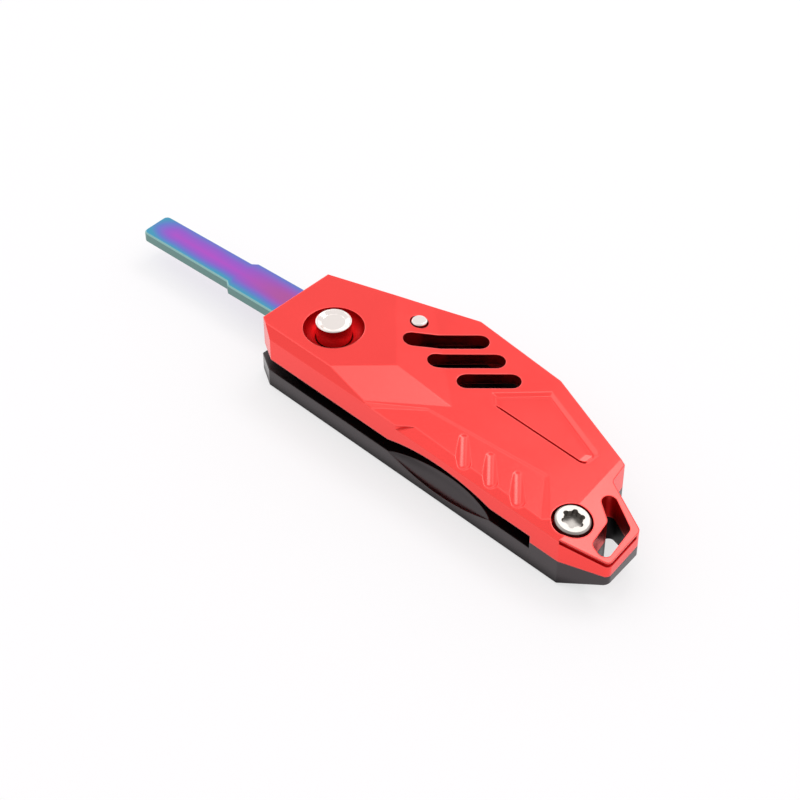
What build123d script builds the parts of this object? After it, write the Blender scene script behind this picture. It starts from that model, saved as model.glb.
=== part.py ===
"""Flip key remote shell: a folding key blade in a two-part milled aluminium shell.

Millimetres, +Z up. The origin lies on the base plane, on the pivot axis of the
blade. +X points to the tail with the lanyard eye and +Y to the back edge. The
blade is drawn swung out of the head end.
"""
from build123d import *
from math import asin, atan, cos, degrees, radians, sin, sqrt, tan
import os

os.makedirs("parts", exist_ok=True)

# Outline of the shell, seen from above
head_reach = 10.4
front_reach = 8.57
nose_run = 3.84
nose_rise = 2.17
nose_lip = 0.65
grip_reach = 57.4
tail_length = 7.75
tail_turn = 19.6
tail_lean = 1.15
eye_back_reach = 2.85
notch_setback = 2.2
notch_reach = 6.6
shoulder_setback = 3.1
shoulder_reach = 10.6
hump_end_x = 34.75
hump_end_reach = 17.8
hump_start_x = 15.04
hump_start_reach = 19.3
head_lean = 0.35
head_back_reach = 10.5
notch_radius = 1.0
tail_corner_radius = 1.0

# Heights of the two shells and the facets of the top
head_height = 12.3
parting_height = 5.15
deck_start_x = 20.0
deck_drop = 1.25
deck_fall = 1.15
slope_start = 10.47
slope_angle = 9.0
ramp_start = 9.55
ramp_angle = 9.1
facet_setback = 2.6
facet_angle = 12.5
facet_turn = 7.4
edge_bevel = 1.4
grip_bevel_depth = 1.15
grip_bevel_width = 2.47
grip_bevel_fall = 0.7
grip_bevel_start_x = 22.8
grip_bevel_run_out = 3.2
underside_bevel = 0.4
underside_rise_setback = 0.9
underside_rise_angle = 22.5

# Walls and inner spaces
side_wall = 1.9
bottom_wall = 1.6
roof_underside = 8.8
bay_roof_thickness = 2.25
bay_start_x = 12.6
bay_end_gap = 7.0
bay_front_y = 1.2

# Blade
blade_thickness = 2.1
blade_width = 8.2
blade_root_reach = 11.0
blade_shoulder_width = 8.0
blade_neck_width = 6.5
blade_tip_width = 6.2
blade_step_reach = 27.6
blade_step_run = 1.0
blade_reach = 49.1
blade_tip_radius = 1.1
blade_edge_bevel = 0.25
blade_lean = 3.4
tang_start = 4.0
blade_gap = 0.3
blade_stand_out = 0.75
slot_end_gap = 2.6
fit_gap = 0.03
running_gap = 0.06

# Hub that carries the blade
hub_radius = 7.0
well_gap = 0.3
well_floor = 1.4
washer_thickness = 0.3
washer_play = 0.05
spring_pocket_radius = 4.0
web_bottom = 4.55
relief_radius = 3.0
stop_pin_radius = 0.75
stop_pin_angle = 60.0
stop_groove_inner = 5.2
stop_groove_depth = 1.5
blade_pin_radius = 0.6
blade_pin_along = 5.1
blade_pin_across = 2.75
blade_pin_end_gap = 0.25

# Pivot sleeve, springs and push button
sleeve_outer = 2.3
sleeve_inner = 1.6
sleeve_seat = 0.6
sleeve_floor = 0.3
spindle_radius = 1.5
spindle_bottom = 4.4
button_radius = 3.03
button_gap = 0.12
button_rise = 1.57
button_bottom = 9.8
button_dish = 0.4
button_dish_slope = 30.0
button_rim = 0.2
button_bevel = 0.15
button_travel = 1.4
window_play = 0.1
clip_play = 0.45
sleeve_end_gap = 0.1
spindle_seat_depth = 0.8
lock_radius = 3.3
lock_reach = 4.0
lock_width = 3.2
lock_thickness = 1.7
lock_gap = 0.08
lock_pocket_radius = 4.2
lock_pocket_depth = 0.8
clip_radius = 2.6
clip_thickness = 0.4
clip_groove_depth = 0.3
button_wire_radius = 0.17
button_coil_radius = 1.1
button_coil_turns = 5
flip_wire_radius = 0.35
flip_coil_radius = 3.2
flip_coil_turns = 2.25
flip_leg_hole_gap = 0.1
flip_floor_gap = 0.15
dish_radius = 5.2
dish_flat_radius = 3.2
dish_floor = 0.7

# Slots, panel, grip strip and grooves on the deck
cut_width = 3.4
cut_lines = [(3.64, 16.2, 36.7), (10.32, 21.8, 40.2), (17.09, 28.45, 43.5)]
panel_corners = [(28.73, 7.73), (35.5, 14.9), (50.4, 9.45)]
panel_front_y = 5.8
pad_corners = [(29.61, 7.36), (35.96, 13.94), (49.78, 8.6)]
pad_front_y = 6.15
panel_depth = 0.3
panel_flank = 0.8
panel_corner_radius = 1.5
pad_corner_radius = 1.2
pad_steps = [(0.1, 0.1), (0.1, 0.22), (0.1, 0.8)]
strip_x = 47.35
strip_y = -0.2
strip_turn = 5.85
strip_tilt = 1.6
strip_depth = 0.12
strip_edge_slope = 14.0
strip_length = 23.2
strip_height = 0.6
strip_end_lean = 37.3
groove_count = 3
groove_end_x = 36.3
groove_end_y = -7.2
groove_pitch = 5.72
groove_length = 5.7
groove_angle = 48.3
groove_radius = 1.6
groove_head_depth = 0.2
groove_end_depth = 0.68

# Thumb scallop in the front wall
scallop_centre_x = 32.2
scallop_half_length = 11.15
arch_height = 1.8
arch_depth = 2.6
scoop_radius = 2.97
scoop_end_radius = 0.79
scoop_front = 0.22
scoop_rise = 0.76

# Lanyard eye: offsets from the corner where the tail starts, with the radii
eye_corners = [
    (-1.05, 5.15, 1.25),
    (5.55, 1.87, 1.2),
    (7.1, -6.1, 1.2),
    (3.62, -5.2, 1.25),
    (2.38, 0.1, 1.3),
    (-1.05, 2.35, 1.25),
]
undercut_depth = 0.4
undercut_height = 0.75
plate_thickness = 0.25

# Fasteners and dowels
screw_setback = 1.26
screw_y = -3.83
screw_tilt = 9.0
screw_head_radius = 2.88
screw_head_height = 2.3
screw_head_gap = 0.43
screw_recess = 0.05
screw_recess_shift = (0.12, -0.32)
screw_socket_radius = 1.5
screw_lobe_reach = 1.45
screw_lobe_radius = 0.45
screw_socket_depth = 1.3
screw_shank_radius = 1.48
screw_length = 5.2
insert_radius = 2.1
insert_length = 3.2
dowel_x = 8.68
dowel_y = 11.54
dowel_radius = 1.35
dowel_sink = 0.2
dowel_bottom = 2.2
dowel_ring_gap = 0.25
dowel_ring_depth = 1.6
locator_places = [(3.4, 12.6), (52.9, 6.4)]
locator_radius = 1.0
locator_length = 4.4
base_screw_places = [(-2.0, 10.9), (9.9, 1.6)]
base_screw_radius = 1.0
base_screw_head_radius = 1.9
base_screw_head_height = 1.1
base_screw_length = 7.6
base_screw_socket_radius = 0.75
base_screw_socket_depth = 0.6
base_screw_recess = 0.15
base_screw_end_gap = 0.5
dowel_bevel = 0.2
locator_end_gap = 0.2
screw_head_bevel = 0.3
insert_sink = 0.5

# Worked out from the values above
far = 90.0
deck_height = head_height - deck_drop
bay_roof = deck_height - bay_roof_thickness
tail_end_x = grip_reach + tail_length
slot_floor = parting_height - blade_thickness / 2 - blade_gap
slot_roof = parting_height + blade_thickness / 2 + blade_gap
blade_offset = front_reach + blade_stand_out - blade_width / 2
slot_back_y = blade_offset + blade_width / 2 + blade_gap
slot_end_x = blade_reach + slot_end_gap
well_radius = hub_radius + well_gap
hub_bottom = well_floor + washer_thickness + washer_play
hub_top = roof_underside - washer_thickness - washer_play
lock_pocket_top = roof_underside + lock_pocket_depth
lock_top = lock_pocket_top - washer_play
lock_bottom = lock_top - lock_thickness
clip_bottom = lock_bottom - clip_thickness
window_floor = lock_bottom - button_travel - window_play
web_top = clip_bottom - button_travel - clip_play
sleeve_top = web_top - sleeve_end_gap
button_top = head_height + button_rise
dish_depth = head_height - lock_pocket_top - dish_floor
dowel_top = head_height - dowel_sink
bay_end_x = grip_reach - bay_end_gap
facet_x = grip_reach - facet_setback
screw_x = grip_reach - screw_setback
stop_pin_reach = stop_groove_inner + running_gap + stop_pin_radius + well_gap / 2
facet_drop = tan(radians(facet_angle))


def deck_level(x):
    """Height of the sloping deck at x."""
    return deck_height - (x - deck_start_x) * tan(radians(deck_fall))


def facet_level(x, y):
    """Height of the tail facet, which falls towards the end edge."""
    turn = radians(facet_turn)
    return deck_level(facet_x) - ((x - facet_x) * cos(turn) + y * sin(turn)) * facet_drop


def strip_level(x, y):
    """Height of the grip strip, which falls from its crease to the front."""
    turn = radians(strip_turn)
    run = (strip_y - y) * cos(turn) + (x - strip_x) * sin(turn)
    return deck_level(x) - strip_depth - run * tan(radians(strip_tilt))


def panel_outline(corners, front_y):
    """Corners of the panel in the deck's plane, closed by a line at front_y."""
    first_x, first_y = corners[0]
    last_x = corners[-1][0]
    closed = [*corners, (last_x, front_y), (first_x + first_y - front_y, front_y)]
    return [(x - deck_start_x, y) for x, y in closed]


def stop_line_y(x):
    """Where the slot's back edge, parallel to the open blade, lies at x."""
    lean = radians(blade_lean)
    return (slot_back_y + x * sin(lean)) / cos(lean)


deck_plane = Plane(
    origin=(deck_start_x, 0, deck_height),
    x_dir=(cos(radians(deck_fall)), 0, -sin(radians(deck_fall))),
    z_dir=(sin(radians(deck_fall)), 0, cos(radians(deck_fall))),
)
blade_plane = Plane(
    origin=(0, 0, parting_height - blade_thickness / 2),
    x_dir=(-cos(radians(blade_lean)), -sin(radians(blade_lean)), 0),
    z_dir=(0, 0, 1),
)
facet_plane = Plane(
    origin=(facet_x, 0, deck_level(facet_x)),
    z_dir=(cos(radians(facet_turn)) * facet_drop, sin(radians(facet_turn)) * facet_drop, 1),
)
screw_plane = Plane(
    origin=(screw_x, screw_y, facet_level(screw_x, screw_y)),
    x_dir=(cos(radians(screw_tilt)), 0, -sin(radians(screw_tilt))),
    z_dir=(sin(radians(screw_tilt)), 0, cos(radians(screw_tilt))),
)
strip_plane = Plane(
    origin=(strip_x, strip_y, strip_level(strip_x, strip_y)),
    x_dir=(1, 0, 0),
    z_dir=(
        tan(radians(deck_fall)) + tan(radians(strip_tilt)) * sin(radians(strip_turn)),
        -tan(radians(strip_tilt)) * cos(radians(strip_turn)),
        1,
    ),
)
insert_depth = (screw_plane.origin.Z - parting_height) / cos(radians(screw_tilt)) + insert_sink

# Plan shapes that both shells share
with BuildSketch() as outline:
    with BuildLine():
        Polyline(
            (-head_reach, nose_rise - front_reach),
            (nose_run - head_reach, -front_reach),
            (grip_reach, -front_reach),
            (tail_end_x, tail_length * tan(radians(tail_turn)) - front_reach),
            (tail_end_x - tail_lean, eye_back_reach),
            (grip_reach - notch_setback, notch_reach),
            (grip_reach - shoulder_setback, shoulder_reach),
            (hump_end_x, hump_end_reach),
            (hump_start_x, hump_start_reach),
            (-head_reach - head_lean, head_back_reach),
            close=True,
        )
    make_face()
    notch = (grip_reach - notch_setback, notch_reach, 0)
    fillet(outline.vertices().sort_by_distance(notch)[0], radius=notch_radius)
    fillet(outline.vertices().group_by(Axis.X)[-1], radius=tail_corner_radius)
    eye_back = (tail_end_x - tail_lean, eye_back_reach, 0)
    fillet(outline.vertices().sort_by_distance(eye_back)[0], radius=tail_corner_radius)

with BuildSketch() as slot_plan:
    with BuildLine():
        Polyline(
            (-far, -far),
            (slot_end_x, -far),
            (slot_end_x, blade_width / 2 + blade_gap - blade_offset),
            (blade_gap - tang_start, blade_width / 2 + blade_gap - blade_offset),
            (blade_gap - tang_start, stop_line_y(blade_gap - tang_start)),
            (-far, stop_line_y(-far)),
            close=True,
        )
    make_face()

with BuildSketch() as bay_plan:
    add(outline.sketch)
    offset(amount=-side_wall, kind=Kind.INTERSECTION)
    with Locations((bay_start_x, bay_front_y)):
        Rectangle(bay_end_x - bay_start_x, far, align=(Align.MIN, Align.MIN), mode=Mode.INTERSECT)

with BuildSketch() as eye_plan:
    with BuildLine():
        Polyline(*[(grip_reach + x, y) for x, y, _ in eye_corners], close=True)
    make_face()
    for x, y, radius in eye_corners:
        fillet(eye_plan.vertices().sort_by_distance((grip_reach + x, y, 0))[0], radius=radius)

# Material above the slope and the ramp, down to the deck, which is milled away
with BuildPart() as top_relief:
    with BuildSketch(Plane(origin=(0, 0, head_height), x_dir=(1, 1, 0), z_dir=(1, -1, 0))):
        with BuildLine():
            Polyline(
                (slope_start, 0),
                (far, -(far - slope_start) * tan(radians(slope_angle))),
                (far, head_height),
                (slope_start, head_height),
                close=True,
            )
        make_face()
    extrude(amount=far, both=True)
    with BuildSketch(Plane(origin=(0, 0, head_height), x_dir=(1, -1, 0), z_dir=(-1, -1, 0))):
        with BuildLine():
            Polyline(
                (ramp_start, 0),
                (far, -(far - ramp_start) * tan(radians(ramp_angle))),
                (far, head_height),
                (ramp_start, head_height),
                close=True,
            )
        make_face()
    extrude(amount=far, both=True)
    with BuildSketch(deck_plane):
        Rectangle(2 * far, 2 * far)
    extrude(amount=head_height, mode=Mode.INTERSECT)

# Long bevel along the front of the deck, with a slanted run-out at its head end
with BuildPart() as grip_bevel:
    with BuildSketch(
        Plane(
            origin=(grip_bevel_start_x + grip_bevel_run_out, -front_reach,
                    deck_level(grip_bevel_start_x + grip_bevel_run_out)),
            x_dir=(0, 1, 0),
            z_dir=(cos(radians(grip_bevel_fall)), 0, -sin(radians(grip_bevel_fall))),
        )
    ):
        with BuildLine():
            Polyline(
                (-edge_bevel, -grip_bevel_depth),
                (0, -grip_bevel_depth),
                (2 * grip_bevel_width, grip_bevel_depth),
                (-edge_bevel, grip_bevel_depth),
                close=True,
            )
        make_face()
    extrude(amount=grip_reach - grip_bevel_start_x - grip_bevel_run_out)
    extrude(
        grip_bevel.faces().sort_by(Axis.X)[0],
        amount=2 * grip_bevel_run_out,
    )
    with BuildSketch():
        with BuildLine():
            Polyline(
                (grip_bevel_start_x - grip_bevel_run_out, -front_reach - grip_bevel_width),
                (grip_bevel_start_x + grip_bevel_run_out, -front_reach + grip_bevel_width),
                (grip_bevel_start_x - 2 * grip_bevel_run_out, -front_reach + grip_bevel_width),
                (grip_bevel_start_x - 2 * grip_bevel_run_out, -front_reach - grip_bevel_width),
                close=True,
            )
        make_face()
    extrude(amount=2 * head_height, mode=Mode.SUBTRACT)

# Undercut right below the rim of the tail plate
with BuildPart() as tail_undercut:
    with BuildSketch():
        with Locations((grip_reach, eye_back_reach - tail_corner_radius)):
            Rectangle(far, far, align=(Align.MIN, Align.MAX))
    extrude(amount=head_height)
    with BuildSketch(facet_plane.offset(-plate_thickness)):
        Rectangle(2 * far, 2 * far)
    extrude(amount=-undercut_height, mode=Mode.INTERSECT)
    with BuildSketch():
        add(outline.sketch)
        offset(amount=-undercut_depth, kind=Kind.INTERSECTION)
    extrude(amount=head_height, mode=Mode.SUBTRACT)

# Raised pad of the panel, with a rolled edge, cut off along its front line
with BuildPart() as pad:
    pad_level = -panel_depth
    pad_inset = 0
    for height, width in pad_steps:
        with BuildSketch(deck_plane.offset(pad_level)):
            with BuildLine():
                Polyline(*panel_outline(pad_corners, 0), close=True)
            make_face()
            offset(amount=-pad_inset, kind=Kind.INTERSECTION)
        extrude(amount=height, taper=degrees(atan(width / height)))
        pad_level += height
        pad_inset += width
    with BuildSketch(deck_plane.offset(-panel_depth)) as pad_plan:
        with BuildLine():
            Polyline(*panel_outline(pad_corners, pad_front_y), close=True)
        make_face()
        fillet(pad_plan.vertices().sort_by(Axis.X)[-2:], radius=pad_corner_radius)
    extrude(amount=panel_depth, mode=Mode.INTERSECT)

# Channel round that pad, with a sloping flank outside
with BuildPart() as panel_channel:
    with BuildSketch(deck_plane):
        with BuildLine():
            Polyline(*panel_outline(panel_corners, 0), close=True)
        make_face()
    extrude(amount=-panel_depth, taper=degrees(atan(panel_flank / panel_depth)))
    with BuildSketch(deck_plane) as panel_plan:
        with BuildLine():
            Polyline(*panel_outline(panel_corners, panel_front_y), close=True)
        make_face()
        fillet(panel_plan.vertices().sort_by(Axis.X)[-2:], radius=panel_corner_radius)
    extrude(amount=-panel_depth, mode=Mode.INTERSECT)
    add(pad.part, mode=Mode.SUBTRACT)

# Shallow strip along the grip, above a tilted plane and with soft edges
with BuildPart() as grip_strip:
    with BuildSketch(strip_plane):
        with BuildLine():
            Polyline(
                (0, 0),
                (-strip_length, -strip_length * tan(radians(strip_turn))),
                (-strip_length - 2 * front_reach, -2 * front_reach),
                (2 * front_reach * tan(radians(strip_end_lean)), -2 * front_reach),
                close=True,
            )
        make_face()
    extrude(amount=strip_height, taper=strip_edge_slope - 90)

# Grip grooves: a round cutter that sinks deeper towards the front
with BuildPart() as grip_groove:
    groove_run = groove_length * cos(radians(groove_angle))
    groove_rise = groove_length * sin(radians(groove_angle))
    head_z = strip_level(groove_end_x - groove_run, groove_end_y + groove_rise) - groove_head_depth
    end_z = strip_level(groove_end_x, groove_end_y) - groove_end_depth
    head_centre = Vector(groove_end_x - groove_run, groove_end_y + groove_rise, head_z + groove_radius)
    end_centre = Vector(groove_end_x, groove_end_y, end_z + groove_radius)
    with BuildSketch(Plane(origin=head_centre, z_dir=end_centre - head_centre)):
        Circle(groove_radius)
    extrude(amount=(end_centre - head_centre).length)
    with Locations(head_centre, end_centre):
        Sphere(groove_radius)

# Upper shell
with BuildPart() as top_shell:
    with BuildSketch(Plane.XY.offset(parting_height)):
        add(outline.sketch)
    extrude(amount=head_height - parting_height)
    add(top_relief.part, mode=Mode.SUBTRACT)
    add(grip_strip.part, mode=Mode.SUBTRACT)
    # Tail facet
    with BuildSketch(facet_plane):
        Rectangle(2 * far, 2 * far)
    extrude(amount=far, mode=Mode.SUBTRACT)
    # Grip grooves, which follow the fall of the deck
    for index in range(groove_count):
        fall = deck_level(0) - deck_level(index * groove_pitch)
        with Locations((index * groove_pitch, 0, -fall)):
            add(grip_groove.part, mode=Mode.SUBTRACT)
    add(grip_bevel.part, mode=Mode.SUBTRACT)
    # Bevel along the front edge of the head, which runs out on the ramp
    ramp_foot_x = (ramp_start * sqrt(2) - front_reach) + (
        head_height - deck_height
    ) * sqrt(2) / tan(radians(ramp_angle))
    with BuildSketch(Plane.YZ.offset(-far)):
        with BuildLine():
            Polyline(
                (-front_reach - edge_bevel, head_height - 2 * edge_bevel),
                (-front_reach + 2 * edge_bevel, head_height + edge_bevel),
                (-front_reach - edge_bevel, head_height + edge_bevel),
                close=True,
            )
        make_face()
    extrude(amount=far + ramp_foot_x, mode=Mode.SUBTRACT)
    # Bevel along the back edge of the head
    back_run = hump_start_x + head_reach + head_lean
    back_rise = hump_start_reach - head_back_reach
    with BuildSketch(
        Plane(
            origin=(-head_reach - head_lean, head_back_reach, head_height - edge_bevel),
            x_dir=(-back_rise, back_run, 0),
            z_dir=(back_run, back_rise, 0),
        )
    ):
        with BuildLine():
            Polyline(
                (edge_bevel, -edge_bevel),
                (edge_bevel, 2 * edge_bevel),
                (-2 * edge_bevel, 2 * edge_bevel),
                close=True,
            )
        make_face()
    extrude(amount=far, both=True, mode=Mode.SUBTRACT)
    add(panel_channel.part, mode=Mode.SUBTRACT)
    # Blade slot, thumb arch, hub well and the bay behind the slots
    with BuildSketch(Plane.XY.offset(parting_height)):
        add(slot_plan.sketch)
    extrude(amount=slot_roof - parting_height, mode=Mode.SUBTRACT)
    with BuildSketch(Plane.XZ.offset(front_reach - arch_depth)):
        with BuildLine():
            ThreePointArc(
                (scallop_centre_x - scallop_half_length, slot_roof),
                (scallop_centre_x, slot_roof + arch_height),
                (scallop_centre_x + scallop_half_length, slot_roof),
            )
            Line(
                (scallop_centre_x + scallop_half_length, slot_roof),
                (scallop_centre_x - scallop_half_length, slot_roof),
            )
        make_face()
    extrude(amount=2 * arch_depth, mode=Mode.SUBTRACT)
    with BuildSketch(Plane.XY.offset(parting_height)):
        Circle(well_radius)
    extrude(amount=roof_underside - parting_height, mode=Mode.SUBTRACT)
    with BuildSketch(Plane.XY.offset(roof_underside)):
        Circle(lock_pocket_radius)
    extrude(amount=lock_pocket_depth, mode=Mode.SUBTRACT)
    with BuildSketch(Plane.XY.offset(parting_height)):
        add(bay_plan.sketch)
    extrude(amount=bay_roof - parting_height, mode=Mode.SUBTRACT)
    # Bowl round the button and its bore
    with BuildSketch(Plane.XZ):
        with Locations((dish_flat_radius, head_height)):
            Ellipse(dish_radius - dish_flat_radius, dish_depth)
    revolve(axis=Axis.Z, mode=Mode.SUBTRACT)
    with BuildSketch(Plane.XY.offset(roof_underside)):
        Circle(button_radius + button_gap)
    extrude(amount=head_height, mode=Mode.SUBTRACT)
    # Three slanted slots
    with BuildSketch(Plane.XY.offset(parting_height)):
        for line, start, end in cut_lines:
            with Locations(((start + end) / 4 + line / 2, (start + end) / 4 - line / 2)):
                SlotOverall((end - start) / sqrt(2), cut_width, rotation=45)
    extrude(amount=head_height, mode=Mode.SUBTRACT)
    # Lanyard eye and the undercut of the tail plate
    with BuildSketch():
        add(eye_plan.sketch)
    extrude(amount=head_height, mode=Mode.SUBTRACT)
    add(tail_undercut.part, mode=Mode.SUBTRACT)
    # Tail screw: recess for the head, hole for the shank
    with BuildSketch(screw_plane.offset(-screw_head_height - screw_recess)):
        with Locations(screw_recess_shift):
            Circle(screw_head_radius + screw_head_gap)
    extrude(amount=head_height, mode=Mode.SUBTRACT)
    with BuildSketch(screw_plane.offset(-screw_head_height - screw_recess)):
        Circle(screw_shank_radius + fit_gap)
    extrude(amount=-head_height, mode=Mode.SUBTRACT)
    # Silver dowel with a dark ring round it, hidden dowels and base screws
    with Locations((dowel_x, dowel_y, head_height)):
        Hole(dowel_radius + fit_gap, depth=head_height)
        Hole(dowel_radius + dowel_ring_gap, depth=dowel_ring_depth + head_height - dowel_top)
    with BuildSketch(Plane.XY.offset(parting_height)):
        with Locations(*locator_places):
            Circle(locator_radius + fit_gap)
    extrude(amount=locator_length / 2, mode=Mode.SUBTRACT)
    with BuildSketch(Plane.XY.offset(parting_height)):
        with Locations(*base_screw_places):
            Circle(base_screw_radius + fit_gap)
    extrude(amount=base_screw_length - parting_height + base_screw_end_gap, mode=Mode.SUBTRACT)
top_shell.part.label = "top_shell"
export_step(top_shell.part, "parts/top_shell.step")

# Lower shell
with BuildPart() as bottom_shell:
    with BuildSketch():
        add(outline.sketch)
        with BuildLine():
            Polyline(
                (nose_run - head_reach, -front_reach),
                (nose_run - head_reach - nose_lip, -front_reach),
                (-head_reach - nose_lip, nose_rise - front_reach),
                (-head_reach - nose_lip - head_lean, head_back_reach),
                (0, 0),
                close=True,
            )
        make_face()
    extrude(amount=parting_height)
    chamfer(bottom_shell.faces().sort_by(Axis.Z)[0].edges(), length=underside_bevel)
    rise_x = grip_reach - underside_rise_setback
    with BuildSketch(Plane.XZ):
        with BuildLine():
            Polyline(
                (rise_x, 0),
                (rise_x + far, far * tan(radians(underside_rise_angle))),
                (rise_x + far, -far),
                (rise_x, -far),
                close=True,
            )
        make_face()
    extrude(amount=far, both=True, mode=Mode.SUBTRACT)
    # Blade slot, thumb scallop, hub well and the bay behind the slots
    with BuildSketch(Plane.XY.offset(slot_floor)):
        add(slot_plan.sketch)
    extrude(amount=parting_height - slot_floor, mode=Mode.SUBTRACT)
    scoop_axis_y = -front_reach - scoop_front
    scoop_axis_z = slot_floor + scoop_rise
    with BuildSketch(
        Plane(origin=(scallop_centre_x, scoop_axis_y, scoop_axis_z), x_dir=(1, 0, 0), z_dir=(0, -1, 0))
    ):
        with BuildLine():
            ThreePointArc(
                (-scallop_half_length, scoop_end_radius),
                (0, scoop_radius),
                (scallop_half_length, scoop_end_radius),
            )
            Polyline(
                (-scallop_half_length, scoop_end_radius),
                (-scallop_half_length, 0),
                (scallop_half_length, 0),
                (scallop_half_length, scoop_end_radius),
            )
        make_face()
    revolve(axis=Axis((0, scoop_axis_y, scoop_axis_z), (1, 0, 0)), mode=Mode.SUBTRACT)
    with BuildSketch(Plane.XY.offset(well_floor)):
        Circle(well_radius)
    extrude(amount=parting_height, mode=Mode.SUBTRACT)
    with BuildSketch(Plane.XY.offset(bottom_wall)):
        add(bay_plan.sketch)
    extrude(amount=parting_height, mode=Mode.SUBTRACT)
    # Seats of the pivot sleeve, the stop pin and the spring's lower leg
    with BuildSketch(Plane.XY.offset(sleeve_seat)):
        Circle(sleeve_outer + fit_gap)
        with PolarLocations(stop_pin_reach, 1, start_angle=stop_pin_angle):
            Circle(stop_pin_radius + fit_gap)
        with Locations((flip_coil_radius, 0)):
            Circle(flip_wire_radius + flip_leg_hole_gap)
    extrude(amount=well_floor, mode=Mode.SUBTRACT)
    # Lanyard eye
    with BuildSketch():
        add(eye_plan.sketch)
    extrude(amount=head_height, mode=Mode.SUBTRACT)
    # Threaded insert, silver dowel, hidden dowels and base screws
    with BuildSketch(screw_plane.offset(-insert_depth - insert_length)):
        Circle(insert_radius + fit_gap)
    extrude(amount=head_height, mode=Mode.SUBTRACT)
    with Locations((dowel_x, dowel_y, parting_height)):
        Hole(dowel_radius + fit_gap, depth=parting_height - dowel_bottom)
    with BuildSketch(Plane.XY.offset(parting_height)):
        with Locations(*locator_places):
            Circle(locator_radius + fit_gap)
    extrude(amount=-locator_length / 2, mode=Mode.SUBTRACT)
    with Locations(*[Location((x, y, 0), (180, 0, 0)) for x, y in base_screw_places]):
        CounterBoreHole(
            base_screw_radius + fit_gap,
            base_screw_head_radius + fit_gap,
            base_screw_head_height,
            depth=parting_height,
        )
bottom_shell.part.label = "bottom_shell"
export_step(bottom_shell.part, "parts/bottom_shell.step")

# Key blade: a wide root, a short step and a narrow end, drawn in its own plane.
# Both parts narrow a little towards the tip.
with BuildPart() as key_blade:
    with BuildSketch(blade_plane):
        with BuildLine():
            Polyline(
                (tang_start, -blade_offset - blade_width / 2),
                (blade_root_reach, -blade_offset - blade_width / 2),
                (blade_step_reach - blade_step_run, -blade_offset - blade_shoulder_width / 2),
                (blade_step_reach, -blade_offset - blade_neck_width / 2),
                (blade_reach, -blade_offset - blade_tip_width / 2),
                (blade_reach, -blade_offset + blade_tip_width / 2),
                (blade_step_reach, -blade_offset + blade_neck_width / 2),
                (blade_step_reach - blade_step_run, -blade_offset + blade_shoulder_width / 2),
                (blade_root_reach, -blade_offset + blade_width / 2),
                (tang_start, -blade_offset + blade_width / 2),
                close=True,
            )
        make_face()
    extrude(amount=blade_thickness)
    fillet(key_blade.edges().filter_by(Axis.Z).sort_by(Axis.X)[:2], radius=blade_tip_radius)
    chamfer(key_blade.faces().filter_by(Axis.Z).edges(), length=blade_edge_bevel)
    with BuildSketch(blade_plane):
        with Locations((blade_pin_along, -blade_pin_across)):
            Circle(blade_pin_radius + fit_gap)
    extrude(amount=blade_thickness, mode=Mode.SUBTRACT)
key_blade.part.label = "key_blade"
export_step(key_blade.part, "parts/key_blade.step")

# Hub: a drum with the blade's slot, the spring pocket and the lock window
with BuildSketch(blade_plane) as lock_plan:
    Circle(lock_radius)
    Rectangle(2 * lock_reach, lock_width)
    Circle(lock_reach, mode=Mode.INTERSECT)

with BuildPart() as blade_hub:
    with BuildSketch(Plane.XY.offset(hub_bottom)):
        Circle(hub_radius)
    extrude(amount=hub_top - hub_bottom)
    with BuildSketch(blade_plane.offset(-fit_gap)):
        with Locations((tang_start - fit_gap, -blade_offset)):
            Rectangle(far, blade_width + 2 * fit_gap, align=(Align.MIN, Align.CENTER))
    extrude(amount=blade_thickness + 2 * fit_gap, mode=Mode.SUBTRACT)
    with BuildSketch(Plane.XY.offset(hub_bottom)):
        Circle(spring_pocket_radius)
    extrude(amount=web_bottom - hub_bottom, mode=Mode.SUBTRACT)
    with BuildSketch(Plane.XY.offset(web_bottom)):
        Circle(sleeve_outer + running_gap)
    extrude(amount=hub_top, mode=Mode.SUBTRACT)
    with BuildSketch(Plane.XY.offset(web_top)):
        Circle(relief_radius)
    extrude(amount=hub_top, mode=Mode.SUBTRACT)
    with BuildSketch(Plane.XY.offset(window_floor)):
        add(lock_plan.sketch)
        offset(amount=lock_gap)
    extrude(amount=hub_top, mode=Mode.SUBTRACT)
    # Groove that the stop pin runs in, from one end of the turn to the other
    stop_margin = degrees(asin((stop_pin_radius + running_gap) / stop_pin_reach))
    with BuildSketch(Plane.XY.offset(hub_bottom)):
        with BuildLine():
            CenterArc((0, 0), far, stop_pin_angle + stop_margin, -(180 - blade_lean) - 2 * stop_margin)
            Polyline(
                PolarLocations(far, 1, start_angle=stop_pin_angle + stop_margin).locations[0].position,
                (0, 0),
                PolarLocations(
                    far, 1, start_angle=stop_pin_angle - stop_margin - (180 - blade_lean)
                ).locations[0].position,
            )
        make_face()
        Circle(stop_groove_inner, mode=Mode.SUBTRACT)
    extrude(amount=stop_groove_depth, mode=Mode.SUBTRACT)
    with BuildSketch(blade_plane.offset(-far)):
        with Locations((blade_pin_along, -blade_pin_across)):
            Circle(blade_pin_radius + fit_gap)
    extrude(amount=2 * far, mode=Mode.SUBTRACT)
    with BuildSketch(Plane.XY.offset(web_bottom)):
        with PolarLocations(flip_coil_radius, 1, start_angle=flip_coil_turns * 360):
            Circle(flip_wire_radius + flip_leg_hole_gap)
    extrude(amount=web_top - web_bottom, mode=Mode.SUBTRACT)
blade_hub.part.label = "blade_hub"
export_step(blade_hub.part, "parts/blade_hub.step")

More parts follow.
